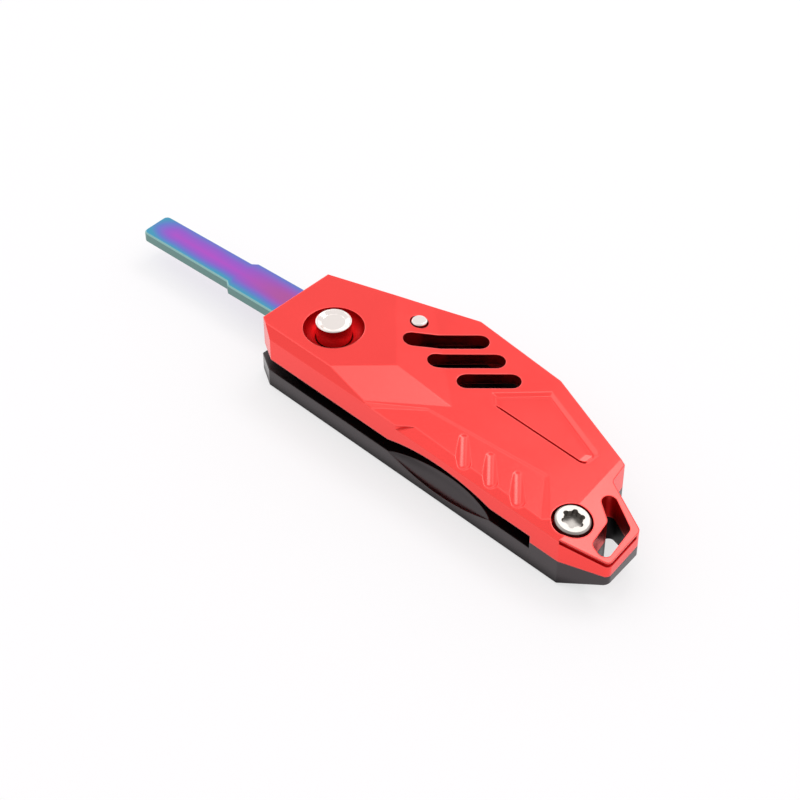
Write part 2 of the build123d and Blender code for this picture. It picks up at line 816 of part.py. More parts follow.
with BuildPart() as blade_pin:
    with BuildSketch(Plane.XY.offset(hub_bottom + blade_pin_end_gap)):
        with Locations(blade_plane.from_local_coords(Vector(blade_pin_along, -blade_pin_across, 0))):
            Circle(blade_pin_radius)
    extrude(amount=hub_top - hub_bottom - 2 * blade_pin_end_gap)
blade_pin.part.label = "blade_pin"
export_step(blade_pin.part, "parts/blade_pin.step")

# Push button: a cap with a sunken top, on a spindle
with BuildPart() as push_button:
    with BuildSketch(Plane.XY.offset(button_bottom)):
        Circle(button_radius)
    extrude(amount=button_top - button_bottom)
    chamfer(push_button.faces().sort_by(Axis.Z)[-1].edges(), length=button_bevel)
    with BuildSketch(Plane.XY.offset(button_top)):
        Circle(button_radius - button_bevel - button_rim)
    extrude(amount=-button_dish, taper=90 - button_dish_slope, mode=Mode.SUBTRACT)
    with BuildSketch(Plane.XY.offset(button_bottom)):
        Circle(spindle_radius + fit_gap)
    extrude(amount=spindle_seat_depth, mode=Mode.SUBTRACT)
push_button.part.label = "push_button"
export_step(push_button.part, "parts/push_button.step")

with BuildPart() as button_spindle:
    with BuildSketch(Plane.XY.offset(spindle_bottom)):
        Circle(spindle_radius)
    extrude(amount=button_bottom + spindle_seat_depth - spindle_bottom)
    with BuildSketch(Plane.XY.offset(clip_bottom)):
        Circle(2 * spindle_radius)
        Circle(spindle_radius - clip_groove_depth, mode=Mode.SUBTRACT)
    extrude(amount=clip_thickness, mode=Mode.SUBTRACT)
button_spindle.part.label = "button_spindle"
export_step(button_spindle.part, "parts/button_spindle.step")

with BuildPart() as lock_plate:
    with BuildSketch(Plane.XY.offset(lock_bottom)):
        add(lock_plan.sketch)
        Circle(spindle_radius + fit_gap, mode=Mode.SUBTRACT)
    extrude(amount=lock_thickness)
lock_plate.part.label = "lock_plate"
export_step(lock_plate.part, "parts/lock_plate.step")

with BuildPart() as retaining_clip:
    with BuildSketch(Plane.XY.offset(clip_bottom)):
        Circle(clip_radius)
        Circle(spindle_radius - clip_groove_depth + fit_gap, mode=Mode.SUBTRACT)
        with Locations((clip_radius, 0)):
            Rectangle(2 * clip_radius, 2 * (spindle_radius - 2 * clip_groove_depth), mode=Mode.SUBTRACT)
    extrude(amount=clip_thickness - fit_gap)
retaining_clip.part.label = "retaining_clip"
export_step(retaining_clip.part, "parts/retaining_clip.step")

# Pivot sleeve, pressed into the lower shell, with the button's spring inside
with BuildPart() as pivot_sleeve:
    with BuildSketch(Plane.XY.offset(sleeve_seat)):
        Circle(sleeve_outer)
    extrude(amount=sleeve_top - sleeve_seat)
    with BuildSketch(Plane.XY.offset(sleeve_seat + sleeve_floor)):
        Circle(sleeve_inner)
    extrude(amount=sleeve_top, mode=Mode.SUBTRACT)
pivot_sleeve.part.label = "pivot_sleeve"
export_step(pivot_sleeve.part, "parts/pivot_sleeve.step")

button_spring_bottom = sleeve_seat + sleeve_floor + button_wire_radius
button_spring_height = spindle_bottom - button_wire_radius - button_spring_bottom
with BuildPart() as button_spring:
    with BuildLine() as button_coil:
        Helix(
            pitch=button_spring_height / button_coil_turns,
            height=button_spring_height,
            radius=button_coil_radius,
            center=(0, 0, button_spring_bottom),
        )
    with BuildSketch(button_coil.line ^ 0):
        Circle(button_wire_radius)
    sweep(path=button_coil.line, is_frenet=True)
button_spring.part.label = "button_spring"
export_step(button_spring.part, "parts/button_spring.step")

# Torsion spring round the sleeve, one leg in the floor and one in the hub
flip_spring_bottom = well_floor + flip_floor_gap + flip_wire_radius
flip_spring_height = web_bottom - flip_floor_gap - flip_wire_radius - flip_spring_bottom
with BuildPart() as flip_spring:
    with BuildLine() as flip_coil:
        Helix(
            pitch=flip_spring_height / flip_coil_turns,
            height=flip_spring_height,
            radius=flip_coil_radius,
            center=(0, 0, flip_spring_bottom),
        )
    with BuildSketch(flip_coil.line ^ 0):
        Circle(flip_wire_radius)
    sweep(path=flip_coil.line, is_frenet=True)
    with BuildSketch(Plane.XY.offset(flip_spring_bottom)):
        with Locations((flip_coil_radius, 0)):
            Circle(flip_wire_radius)
    extrude(amount=sleeve_seat + flip_leg_hole_gap - flip_spring_bottom)
    with BuildSketch(Plane.XY.offset(flip_spring_bottom + flip_spring_height)):
        with PolarLocations(flip_coil_radius, 1, start_angle=flip_coil_turns * 360):
            Circle(flip_wire_radius)
    extrude(amount=web_top - flip_leg_hole_gap - flip_spring_bottom - flip_spring_height)
    with Locations((flip_coil_radius, 0, flip_spring_bottom)):
        Sphere(flip_wire_radius)
    with PolarLocations(flip_coil_radius, 1, start_angle=flip_coil_turns * 360):
        with Locations((0, 0, flip_spring_bottom + flip_spring_height)):
            Sphere(flip_wire_radius)
flip_spring.part.label = "flip_spring"
export_step(flip_spring.part, "parts/flip_spring.step")

with BuildPart() as lower_washer:
    with BuildSketch(Plane.XY.offset(well_floor)):
        Circle(stop_groove_inner - running_gap)
        Circle(spring_pocket_radius + running_gap, mode=Mode.SUBTRACT)
    extrude(amount=washer_thickness)
lower_washer.part.label = "lower_washer"
export_step(lower_washer.part, "parts/lower_washer.step")

with BuildPart() as upper_washer:
    with BuildSketch(Plane.XY.offset(hub_top + washer_play)):
        Circle(hub_radius)
        Circle(lock_pocket_radius + well_gap, mode=Mode.SUBTRACT)
    extrude(amount=washer_thickness)
upper_washer.part.label = "upper_washer"
export_step(upper_washer.part, "parts/upper_washer.step")

with BuildPart() as hub_stop_pin:
    with BuildSketch(Plane.XY.offset(sleeve_seat)):
        with PolarLocations(stop_pin_reach, 1, start_angle=stop_pin_angle):
            Circle(stop_pin_radius)
    extrude(amount=hub_bottom + stop_groove_depth - washer_play - sleeve_seat)
hub_stop_pin.part.label = "hub_stop_pin"
export_step(hub_stop_pin.part, "parts/hub_stop_pin.step")

# Dowels
with BuildPart() as dowel_pin:
    with BuildSketch(Plane.XY.offset(dowel_bottom)):
        with Locations((dowel_x, dowel_y)):
            Circle(dowel_radius)
    extrude(amount=dowel_top - dowel_bottom)
    chamfer(dowel_pin.faces().sort_by(Axis.Z)[-1].edges(), length=dowel_bevel)
dowel_pin.part.label = "dowel_pin"
export_step(dowel_pin.part, "parts/dowel_pin.step")

with BuildPart() as locating_dowels:
    with BuildSketch(Plane.XY.offset(parting_height - locator_length / 2 + locator_end_gap)):
        with Locations(*locator_places):
            Circle(locator_radius)
    extrude(amount=locator_length - 2 * locator_end_gap)
locating_dowels.part.label = "locating_dowels"
export_step(locating_dowels.part, "parts/locating_dowels.step")

# Tail screw and its insert
with BuildPart() as tail_screw:
    with BuildSketch(screw_plane.offset(-screw_recess - screw_head_height)):
        Circle(screw_head_radius)
    extrude(amount=screw_head_height)
    chamfer(tail_screw.faces().sort_by(Axis.Z)[-1].edges(), length=screw_head_bevel)
    with BuildSketch(screw_plane.offset(-screw_recess)):
        Circle(screw_socket_radius)
        with PolarLocations(screw_lobe_reach, 6):
            Circle(screw_lobe_radius)
    extrude(amount=-screw_socket_depth, mode=Mode.SUBTRACT)
    with BuildSketch(screw_plane.offset(-screw_recess - screw_head_height)):
        Circle(screw_shank_radius)
    extrude(amount=-screw_length)
tail_screw.part.label = "tail_screw"
export_step(tail_screw.part, "parts/tail_screw.step")

with BuildPart() as threaded_insert:
    with BuildSketch(screw_plane.offset(-insert_depth - insert_length)):
        Circle(insert_radius)
        Circle(screw_shank_radius + fit_gap, mode=Mode.SUBTRACT)
    extrude(amount=insert_length)
threaded_insert.part.label = "threaded_insert"
export_step(threaded_insert.part, "parts/threaded_insert.step")

# Two screws from below hold the head end
with BuildPart() as underside_screws:
    with BuildSketch(Plane.XY.offset(base_screw_recess)):
        with Locations(*base_screw_places):
            Circle(base_screw_head_radius)
    extrude(amount=base_screw_head_height - base_screw_recess)
    with BuildSketch(Plane.XY.offset(base_screw_head_height)):
        with Locations(*base_screw_places):
            Circle(base_screw_radius)
    extrude(amount=base_screw_length - base_screw_head_height)
    with BuildSketch(Plane.XY.offset(base_screw_recess)):
        with Locations(*base_screw_places):
            RegularPolygon(base_screw_socket_radius, 6)
    extrude(amount=base_screw_socket_depth, mode=Mode.SUBTRACT)
underside_screws.part.label = "underside_screws"
export_step(underside_screws.part, "parts/underside_screws.step")
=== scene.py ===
"""Flip key in satin red and black anodised aluminium, with a colour-coated blade.

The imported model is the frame. Its nodes keep their shapes and get procedural
finishes here. Metres, +Z up, the origin under the blade's pivot.
"""
from math import cos, radians, sin

import bpy
import numpy as np
from mathutils import Matrix, Vector

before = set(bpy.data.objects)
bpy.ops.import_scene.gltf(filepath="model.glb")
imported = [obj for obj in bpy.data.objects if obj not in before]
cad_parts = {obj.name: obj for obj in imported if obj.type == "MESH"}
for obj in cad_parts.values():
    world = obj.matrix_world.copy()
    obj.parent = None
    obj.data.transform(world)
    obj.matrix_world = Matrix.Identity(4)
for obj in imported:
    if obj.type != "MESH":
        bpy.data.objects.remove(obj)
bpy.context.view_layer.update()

bl_info = {
    "name": "Flip Key Dressing",
    "version": (1, 0, 0),
    "blender": (4, 5, 0),
    "location": "View3D > Sidebar > Flip Key",
    "description": "Finishes, light and stage for a folding key",
    "category": "Object",
}

MM = 0.001

# Camera: turn and dip of its view, the point it aims at, its distance and lens
VIEW_TURN = radians(44.44)
VIEW_DIP = radians(42.81)
VIEW_AIM = Vector((11.07, 4.47, 0.0)) * MM
VIEW_DISTANCE = 338.5 * MM
NEAR_CLIP = 10.0 * MM
LENS_MM = 90.0
SENSOR_MM = 36.0

# Softboxes: azimuth and elevation in degrees, width and height in metres
TAIL_SOFTBOX = (93.0, 57.0, (0.70, 0.38))
RAMP_SOFTBOX = (132.0, 66.0, (0.38, 0.38))
SOFTBOX_DISTANCE = 1.2

# Bright patches of the room: azimuth, elevation and reach in degrees. A patch is
# at full strength inside GLOW_CORE of its reach.
LEFT_GLOW = (174.0, 53.0, 14.0)
LOW_GLOW = (163.0, 20.0, 26.0)
GLOW_CORE = 1 / 3

# The room changes where a direction's cosine with the view, or its height, passes
# from the first number to the second
BEHIND_KEY = (0.3, 0.8)
LOW_DOWN = (0.5, 0.25)
CAMERA_SIDE = (-0.3, -0.8)

FLOOR_ROUGHNESS = 0.9
FLOOR_SPECULAR = 0.1

# Blasted skin: lengths in metres, noise scales per metre
SKIN_NAME = "blasted skin"
SKIN_SAMPLES = 8
EDGE_GAIN = 6.0
GRAIN_HEIGHT = 0.02 * MM
GRAIN_ROUGHNESS = 0.6
PATCH_SCALE = 130.0
NOISE_DETAIL = 3.0
# A recess is looked for over this distance, and counts where the open share of
# the sky over it falls from the first number to the second
RECESS_REACH = 4.0 * MM
RECESS_SKY = (0.92, 0.5)

# Anodised shells: share of the edge colour, a painted highlight, and swings of roughness
ANODISED_GRAIN_SCALE = 9000.0
ANODISED_EDGE_HIGHLIGHT_SHARE = 0.4
ANODISED_PATCH_SWING = 0.10
ANODISED_GRAIN_SWING = 0.08
ANODISED_RECESS_ROUGHNESS = 0.3

# Turned steel: its broken edges, grain, roughness swing, a darker random tone, and painted shade in recesses
STEEL_EDGE_RADIUS = 0.1 * MM
STEEL_GRAIN_SCALE = 4000.0
STEEL_GRAIN_DEPTH = 0.05
STEEL_PATCH_SWING = 0.12
STEEL_PATCH_SHADE = 0.88
STEEL_RECESS_SHADE = 0.55
CHROME_ROUGHNESS = 0.12

# Blade: the turn of its middle line and how far that line passes from the pivot.
# Places along and across it are in millimetres, along from the pivot.
BLADE_TURN = radians(183.4)
BLADE_OFFSET_MM = 5.22
BLADE_STEP_MM = (27.6, 26.6)
NARROW_HALF_MM = 3.2
WIDE_HALF_MM = 4.05
TIP_START_MM = 43.5
TIP_LENGTH_MM = 6.0
ROOT_RANGE_MM = (30.0, 15.0)

# Blade coating: its film runs from 0 on the middle line to 1 at the edges
COATING_EDGE_RADIUS = 0.12 * MM
COATING_GRAIN_SCALE = 5000.0
COATING_GRAIN_DEPTH = 0.06
COATING_ROUGHNESS = 0.3
FILM_STOPS = (0.0, 0.38, 0.7, 0.95)
FILM_FRONT_SPREAD = 1.05
FILM_BACK_SPREAD = 0.77
FILM_BACK_RANGE_MM = (0.6, -0.6)
FILM_WAVER = 0.35
WAVER_SCALE = 90.0
ROOT_FILM = (0.75, 0.1)
# How upright a face's normal is where the bevels and the narrow sides begin
BEVEL_UPRIGHT = (0.97, 0.9)
SIDE_UPRIGHT = (0.5, 0.3)

# Slots of the record, and the nodes that take them
SLOT_NODES = {
    "red_anodised": ["top_shell"],
    "black_anodised": ["bottom_shell"],
    "coated_blade_steel": ["key_blade"],
    "polished_chrome": ["push_button", "dowel_pin"],
    "bright_screw_steel": ["tail_screw", "underside_screws"],
    "dark_hub_steel": ["blade_hub", "lock_plate"],
    "plain_steel": [
        "blade_pin", "button_spindle", "pivot_sleeve", "lower_washer",
        "upper_washer", "hub_stop_pin", "locating_dowels",
    ],
    "spring_steel": ["retaining_clip", "button_spring", "flip_spring"],
    "insert_brass": ["threaded_insert"],
}

# Colour and roughness of the screws and the inner parts, by slot
INNER_METALS = {
    "bright_screw_steel": ((0.58, 0.54, 0.505), 0.42),
    "dark_hub_steel": ((0.10, 0.10, 0.11), 0.4),
    "plain_steel": ((0.58, 0.58, 0.6), 0.3),
    "spring_steel": ((0.42, 0.42, 0.45), 0.3),
    "insert_brass": ((0.72, 0.53, 0.24), 0.3),
}


# Node-tree helpers

def feed(tree, socket, value):
    """Links a socket to another one, or sets it to a plain value."""
    if isinstance(value, bpy.types.NodeSocket):
        tree.links.new(value, socket)
    else:
        socket.default_value = value


def math_node(tree, operation, *values, clamp=False):
    """One Math node. Its values are sockets or numbers."""
    node = tree.nodes.new("ShaderNodeMath")
    node.operation = operation
    node.use_clamp = clamp
    for socket, value in zip(node.inputs, values):
        feed(tree, socket, value)
    return node.outputs[0]


def dot_product(tree, a, b):
    """The dot product of two directions, each a socket or a plain vector."""
    node = tree.nodes.new("ShaderNodeVectorMath")
    node.operation = "DOT_PRODUCT"
    feed(tree, node.inputs[0], a)
    feed(tree, node.inputs[1], b)
    return node.outputs["Value"]


def split_xyz(tree, vector):
    """The outputs X, Y and Z of a vector."""
    node = tree.nodes.new("ShaderNodeSeparateXYZ")
    tree.links.new(vector, node.inputs[0])
    return node.outputs


def remap(tree, value, low, high):
    """A value eased from low..high to 0..1 and clamped; low may be above high."""
    node = tree.nodes.new("ShaderNodeMapRange")
    node.interpolation_type = "SMOOTHSTEP"
    node.inputs["From Min"].default_value = low
    node.inputs["From Max"].default_value = high
    tree.links.new(value, node.inputs["Value"])
    return node.outputs["Result"]


def fade(tree, mask, start, end):
    """A value that goes from start to end as the mask goes from 0 to 1."""
    return math_node(tree, "MULTIPLY_ADD", mask, end - start, start)


def swing(tree, mask, middle, width):
    """A value that crosses a band, width wide round middle, as the mask goes from 0 to 1."""
    return math_node(tree, "MULTIPLY_ADD", mask, width, middle - width / 2)


def rgba(colour, shade=1.0):
    """A colour, made darker by a shade below 1, with full alpha."""
    return [part * shade for part in colour] + [1.0]


def mix_colour(tree, factor, a, b):
    """One colour Mix node. Its inputs are sockets or values."""
    node = tree.nodes.new("ShaderNodeMix")
    node.data_type = "RGBA"
    for key, value in (("Factor_Float", factor), ("A_Color", a), ("B_Color", b)):
        feed(tree, next(s for s in node.inputs if s.identifier == key), value)
    return next(s for s in node.outputs if s.identifier == "Result_Color")


def noise(tree, place, scale, roughness=0.5):
    """Noise from 0 to 1. Its scale per metre is a socket or a number."""
    node = tree.nodes.new("ShaderNodeTexNoise")
    node.inputs["Detail"].default_value = NOISE_DETAIL
    node.inputs["Roughness"].default_value = roughness
    tree.links.new(place, node.inputs["Vector"])
    feed(tree, node.inputs["Scale"], scale)
    return node.outputs["Fac"]


def new_group(name, inputs, outputs):
    """A shader node group with float inputs and the given outputs: (name, type)."""
    group = bpy.data.node_groups.new(name, "ShaderNodeTree")
    for label in inputs:
        group.interface.new_socket(name=label, in_out="INPUT", socket_type="NodeSocketFloat")
    for label, kind in outputs:
        group.interface.new_socket(name=label, in_out="OUTPUT", socket_type=kind)
    return group, group.nodes.new("NodeGroupInput"), group.nodes.new("NodeGroupOutput")


def new_material(name):
    """A material with a Principled shader; returns both and the node tree."""
    material = bpy.data.materials.new(name)
    material.use_nodes = True
    tree = material.node_tree
    return material, tree, tree.nodes["Principled BSDF"]


# Finishes

def blasted_skin_group():
    """Bead-blasted metal skin.

    Normal: a bevel of the sharp edges plus a fine blasted grain. Edge: how far
    the bevelled normal leans off the face, so that edges can get a painted highlight.
    Grain: the same grain from 0 to 1. Patch: slow unevenness.
    Cavity: 1 deep in a recess, 0 on open faces, for the painted shade and rougher finish of recesses.
    """
    group, given, out = new_group(
        SKIN_NAME,
        ["Edge Radius", "Grain Scale", "Grain Depth"],
        [("Normal", "NodeSocketVector"), ("Edge", "NodeSocketFloat"), ("Grain", "NodeSocketFloat"),
         ("Patch", "NodeSocketFloat"), ("Cavity", "NodeSocketFloat")])
    place = group.nodes.new("ShaderNodeTexCoord").outputs["Object"]
    bevel = group.nodes.new("ShaderNodeBevel")
    bevel.samples = SKIN_SAMPLES
    group.links.new(given.outputs["Edge Radius"], bevel.inputs["Radius"])
    rounded = bevel.outputs["Normal"]
    face = group.nodes.new("ShaderNodeNewGeometry").outputs["Normal"]
    lean = math_node(group, "SUBTRACT", 1.0, dot_product(group, rounded, face), clamp=True)
    grain = noise(group, place, given.outputs["Grain Scale"], GRAIN_ROUGHNESS)
    openness = group.nodes.new("ShaderNodeAmbientOcclusion")
    openness.samples = SKIN_SAMPLES
    openness.inputs["Distance"].default_value = RECESS_REACH
    bump = group.nodes.new("ShaderNodeBump")
    bump.inputs["Distance"].default_value = GRAIN_HEIGHT
    group.links.new(given.outputs["Grain Depth"], bump.inputs["Strength"])
    group.links.new(grain, bump.inputs["Height"])
    group.links.new(rounded, bump.inputs["Normal"])
    group.links.new(bump.outputs["Normal"], out.inputs["Normal"])
    group.links.new(math_node(group, "MULTIPLY", lean, EDGE_GAIN, clamp=True), out.inputs["Edge"])
    group.links.new(grain, out.inputs["Grain"])
    group.links.new(noise(group, place, PATCH_SCALE), out.inputs["Patch"])
    group.links.new(remap(group, openness.outputs["AO"], *RECESS_SKY), out.inputs["Cavity"])
    return group


def place_skin(tree, edge_radius, grain_scale, grain_depth):
    """Puts the one shared skin group into a material, with the material's own values."""
    node = tree.nodes.new("ShaderNodeGroup")
    node.node_tree = bpy.data.node_groups.get(SKIN_NAME) or blasted_skin_group()
    node.inputs["Edge Radius"].default_value = edge_radius
    node.inputs["Grain Scale"].default_value = grain_scale
    node.inputs["Grain Depth"].default_value = grain_depth
    return node.outputs


def finish_metal(tree, shader, skin, base, roughness):
    """Feeds a metal's shader. The roughness is a socket or a number."""
    tree.links.new(base, shader.inputs["Base Color"])
    feed(tree, shader.inputs["Roughness"], roughness)
    tree.links.new(skin["Normal"], shader.inputs["Normal"])
    shader.inputs["Metallic"].default_value = 1.0


def anodised(name, look, colour, edge_colour, recess_shade_colour):
    """Satin anodised aluminium: coloured metal with a blasted grain, edges lightened
    as a painted highlight, and painted shade of a deeper colour in recesses, with a matter finish there."""
    material, tree, shader = new_material(name)
    skin = place_skin(tree, look.edge_radius, ANODISED_GRAIN_SCALE, look.grain_depth)
    # Painted highlight: edges are lightened towards the edge colour
    edge = math_node(tree, "MULTIPLY", skin["Edge"], ANODISED_EDGE_HIGHLIGHT_SHARE)
    base = mix_colour(tree, edge, rgba(colour), rgba(edge_colour))
    # Painted shade: recesses are darkened towards the recess shade colour
    base = mix_colour(tree, skin["Cavity"], base, rgba(recess_shade_colour))
    roughness = math_node(
        tree, "ADD", swing(tree, skin["Patch"], look.roughness, ANODISED_PATCH_SWING),
        swing(tree, skin["Grain"], 0.0, ANODISED_GRAIN_SWING))
    roughness = math_node(tree, "MULTIPLY_ADD", skin["Cavity"], ANODISED_RECESS_ROUGHNESS, roughness)
    finish_metal(tree, shader, skin, base, roughness)
    return material


def turned_steel(name, colour, roughness):
    """Bare or blackened metal with faint grain, softened edges and painted shade that darkens recesses."""
    material, tree, shader = new_material(name)
    skin = place_skin(tree, STEEL_EDGE_RADIUS, STEEL_GRAIN_SCALE, STEEL_GRAIN_DEPTH)
    base = mix_colour(tree, skin["Patch"], rgba(colour), rgba(colour, STEEL_PATCH_SHADE))
    # Painted shade: recesses are darkened to a share of the colour
    base = mix_colour(tree, skin["Cavity"], base, rgba(colour, STEEL_RECESS_SHADE))
    finish_metal(tree, shader, skin, base, swing(tree, skin["Patch"], roughness, STEEL_PATCH_SWING))
    return material


def blade_place(tree, place):
    """A place on the blade: millimetres along it from the pivot, and across it from
    its middle line."""
    mapping = tree.nodes.new("ShaderNodeMapping")
    mapping.vector_type = "TEXTURE"
    mapping.inputs["Rotation"].default_value = (0.0, 0.0, BLADE_TURN)
    tree.links.new(place, mapping.inputs["Vector"])
    turned = split_xyz(tree, mapping.outputs["Vector"])
    along = math_node(tree, "MULTIPLY", turned["X"], 1.0 / MM)
    return along, math_node(tree, "MULTIPLY_ADD", turned["Y"], 1.0 / MM, BLADE_OFFSET_MM)


def coating_film(tree, place, along, across):
    """The distance from the middle line in local half widths, less towards the back
    edge, joined with the distance into the tip as the sides of a right angle are,
    and slightly uneven."""
    half_width = fade(tree, remap(tree, along, *BLADE_STEP_MM), NARROW_HALF_MM, WIDE_HALF_MM)
    spread = fade(tree, remap(tree, across, *FILM_BACK_RANGE_MM), FILM_FRONT_SPREAD, FILM_BACK_SPREAD)
    side = math_node(tree, "DIVIDE", math_node(tree, "ABSOLUTE", across), half_width)
    side = math_node(tree, "MULTIPLY", side, spread)
    past = math_node(tree, "MAXIMUM", math_node(tree, "SUBTRACT", along, TIP_START_MM), 0.0)
    tip = math_node(tree, "DIVIDE", past, TIP_LENGTH_MM)
    squares = math_node(tree, "MULTIPLY_ADD", side, side, math_node(tree, "MULTIPLY", tip, tip))
    waver = swing(tree, noise(tree, place, WAVER_SCALE), 0.0, FILM_WAVER)
    return math_node(tree, "ADD", math_node(tree, "SQRT", squares), waver)


def coated_steel(name, blade):
    """Blade coating whose colour changes with the place across and along the blade, with a painted highlight
    on the bevels and painted shade on the narrow sides.
    """
    material, tree, shader = new_material(name)
    skin = place_skin(tree, COATING_EDGE_RADIUS, COATING_GRAIN_SCALE, COATING_GRAIN_DEPTH)
    place = tree.nodes.new("ShaderNodeTexCoord").outputs["Object"]
    along, across = blade_place(tree, place)
    film = coating_film(tree, place, along, across)
    ramp = tree.nodes.new("ShaderNodeValToRGB")
    colours = (blade.centre_colour, blade.middle_colour, blade.outer_colour, blade.edge_colour)
    elements = ramp.color_ramp.elements
    while len(elements) < len(colours):
        elements.new(1.0)
    for element, position, colour in zip(elements, FILM_STOPS, colours):
        element.position = position
        element.color = rgba(colour)
    tree.links.new(film, ramp.inputs["Fac"])
    near_root = math_node(tree, "MULTIPLY", remap(tree, along, *ROOT_RANGE_MM),
                          remap(tree, film, *ROOT_FILM))
    base = mix_colour(tree, near_root, ramp.outputs["Color"], rgba(blade.root_colour))
    # The bevels get a lighter colour, a painted highlight, and the narrow sides below them a darker, greener
    # copy of it, painted shade
    normal = tree.nodes.new("ShaderNodeNewGeometry").outputs["True Normal"]
    upright = math_node(tree, "ABSOLUTE", split_xyz(tree, normal)["Z"])
    base = mix_colour(tree, remap(tree, upright, *BEVEL_UPRIGHT), base, rgba(blade.bevel_highlight_colour))
    base = mix_colour(tree, remap(tree, upright, *SIDE_UPRIGHT), base, rgba(blade.side_shade_colour))
    finish_metal(tree, shader, skin, base, COATING_ROUGHNESS)
    return material


def give(slot, material):
    """Each CAD node of a slot shows the material."""
    for name in SLOT_NODES[slot]:
        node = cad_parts[name]
        node.data.materials.clear()
        node.data.materials.append(material)


# Stage

def make_floor(studio):
    """A square floor at the height of the base, pale and matt. Where it is seen,
    directly or mirrored, part of it is white whatever falls on it."""
    corners = np.array([(-1, -1, 0), (1, -1, 0), (1, 1, 0), (-1, 1, 0)]) * studio.floor_size / 2
    mesh = bpy.data.meshes.new("floor")
    mesh.from_pydata(corners.tolist(), [], [(0, 1, 2, 3)])
    floor = bpy.data.objects.new("floor", mesh)
    bpy.context.scene.collection.objects.link(floor)
    material, tree, shader = new_material("studio floor")
    shader.inputs["Base Color"].default_value = rgba(studio.floor_colour)
    shader.inputs["Roughness"].default_value = FLOOR_ROUGHNESS
    shader.inputs["Specular IOR Level"].default_value = FLOOR_SPECULAR
    white = tree.nodes.new("ShaderNodeEmission")
    mix = tree.nodes.new("ShaderNodeMixShader")
    path = tree.nodes.new("ShaderNodeLightPath").outputs
    seen = math_node(tree, "MAXIMUM", path["Is Camera Ray"], path["Is Glossy Ray"])
    seen = math_node(tree, "MAXIMUM", seen, path["Is Transmission Ray"])
    tree.links.new(math_node(tree, "MULTIPLY", seen, studio.floor_white), mix.inputs[0])
    tree.links.new(shader.outputs[0], mix.inputs[1])
    tree.links.new(white.outputs[0], mix.inputs[2])
    tree.links.new(mix.outputs[0], tree.nodes["Material Output"].inputs["Surface"])
    mesh.materials.append(material)


def heading(azimuth, elevation):
    """The unit vector of a direction given in degrees."""
    turn, rise = radians(azimuth), radians(elevation)
    return Vector((cos(rise) * cos(turn), cos(rise) * sin(turn), sin(rise)))


def glow_patch(tree, way, azimuth, elevation, reach, strength):
    """Strength of a soft round patch of light, whose edge is reach degrees from its middle."""
    nearness = dot_product(tree, way, heading(azimuth, elevation))
    mask = remap(tree, nearness, cos(radians(reach)), cos(radians(reach * GLOW_CORE)))
    return math_node(tree, "MULTIPLY", mask, strength)


def make_surroundings(studio):
    """World: white where it is seen. Its light is a soft room with two bright
    patches, brighter low down behind the key and darker on the camera's side."""
    world = bpy.data.worlds.new("studio")
    bpy.context.scene.world = world
    world.use_nodes = True
    tree = world.node_tree
    way = tree.nodes.new("ShaderNodeTexCoord").outputs["Generated"]
    ahead = dot_product(tree, way, (-sin(VIEW_TURN), cos(VIEW_TURN), 0.0))
    low = remap(tree, split_xyz(tree, way)["Z"], *LOW_DOWN)
    behind = math_node(tree, "MULTIPLY", remap(tree, ahead, *BEHIND_KEY), low)
    strength = math_node(tree, "MULTIPLY_ADD", behind, studio.backdrop, studio.sky)
    for patch, glow in ((LEFT_GLOW, studio.left_glow), (LOW_GLOW, studio.low_glow)):
        strength = math_node(tree, "ADD", strength, glow_patch(tree, way, *patch, glow))
    kept = fade(tree, remap(tree, ahead, *CAMERA_SIDE), 1.0, 1.0 - studio.front_loss)
    strength = math_node(tree, "MULTIPLY", strength, kept)
    path = tree.nodes.new("ShaderNodeLightPath").outputs
    seen = math_node(tree, "MAXIMUM", path["Is Camera Ray"], path["Is Transmission Ray"])
    unseen = math_node(tree, "SUBTRACT", 1.0, seen)
    background = tree.nodes["Background"]
    background.inputs["Color"].default_value = (1.0, 1.0, 1.0, 1.0)
    tree.links.new(math_node(tree, "MULTIPLY_ADD", unseen, strength, seen), background.inputs["Strength"])


def make_softbox(name, azimuth, elevation, size, power):
    """An oblong area light that faces the key from a direction."""
    data = bpy.data.lights.new(name, "AREA")
    data.shape = "RECTANGLE"
    data.size, data.size_y = size
    data.energy = power
    light = bpy.data.objects.new(name, data)
    way = heading(azimuth, elevation)
    light.location = VIEW_AIM + way * SOFTBOX_DISTANCE
    light.rotation_euler = way.to_track_quat("Z", "Y").to_euler()
    bpy.context.scene.collection.objects.link(light)


def make_camera():
    """A long lens at the photograph's angle."""
    right = Vector((cos(VIEW_TURN), sin(VIEW_TURN), 0.0))
    level = Vector((-sin(VIEW_TURN), cos(VIEW_TURN), 0.0))
    ahead = level * cos(VIEW_DIP) - Vector((0.0, 0.0, sin(VIEW_DIP)))
    up = right.cross(ahead)
    data = bpy.data.cameras.new("camera")
    data.lens = LENS_MM
    data.sensor_width = SENSOR_MM
    data.clip_start = NEAR_CLIP
    camera = bpy.data.objects.new("camera", data)
    turn = Matrix((right, up, -ahead)).transposed().to_4x4()
    camera.matrix_world = Matrix.Translation(VIEW_AIM - ahead * VIEW_DISTANCE) @ turn
    bpy.context.scene.collection.objects.link(camera)
    bpy.context.scene.camera = camera


# Settings that a user would change

def colour_setting(name, description, default):
    """A colour property."""
    return bpy.props.FloatVectorProperty(
        name=name, description=description, subtype="COLOR", default=default, min=0.0, max=1.0)


def share_setting(name, description, default):
    """A property from 0 to 1."""
    return bpy.props.FloatProperty(
        name=name, description=description, subtype="FACTOR", default=default, min=0.0, max=1.0)


def strength_setting(name, description, default, unit="NONE"):
    """A property from 0 up."""
    return bpy.props.FloatProperty(name=name, description=description, default=default, min=0.0, unit=unit)


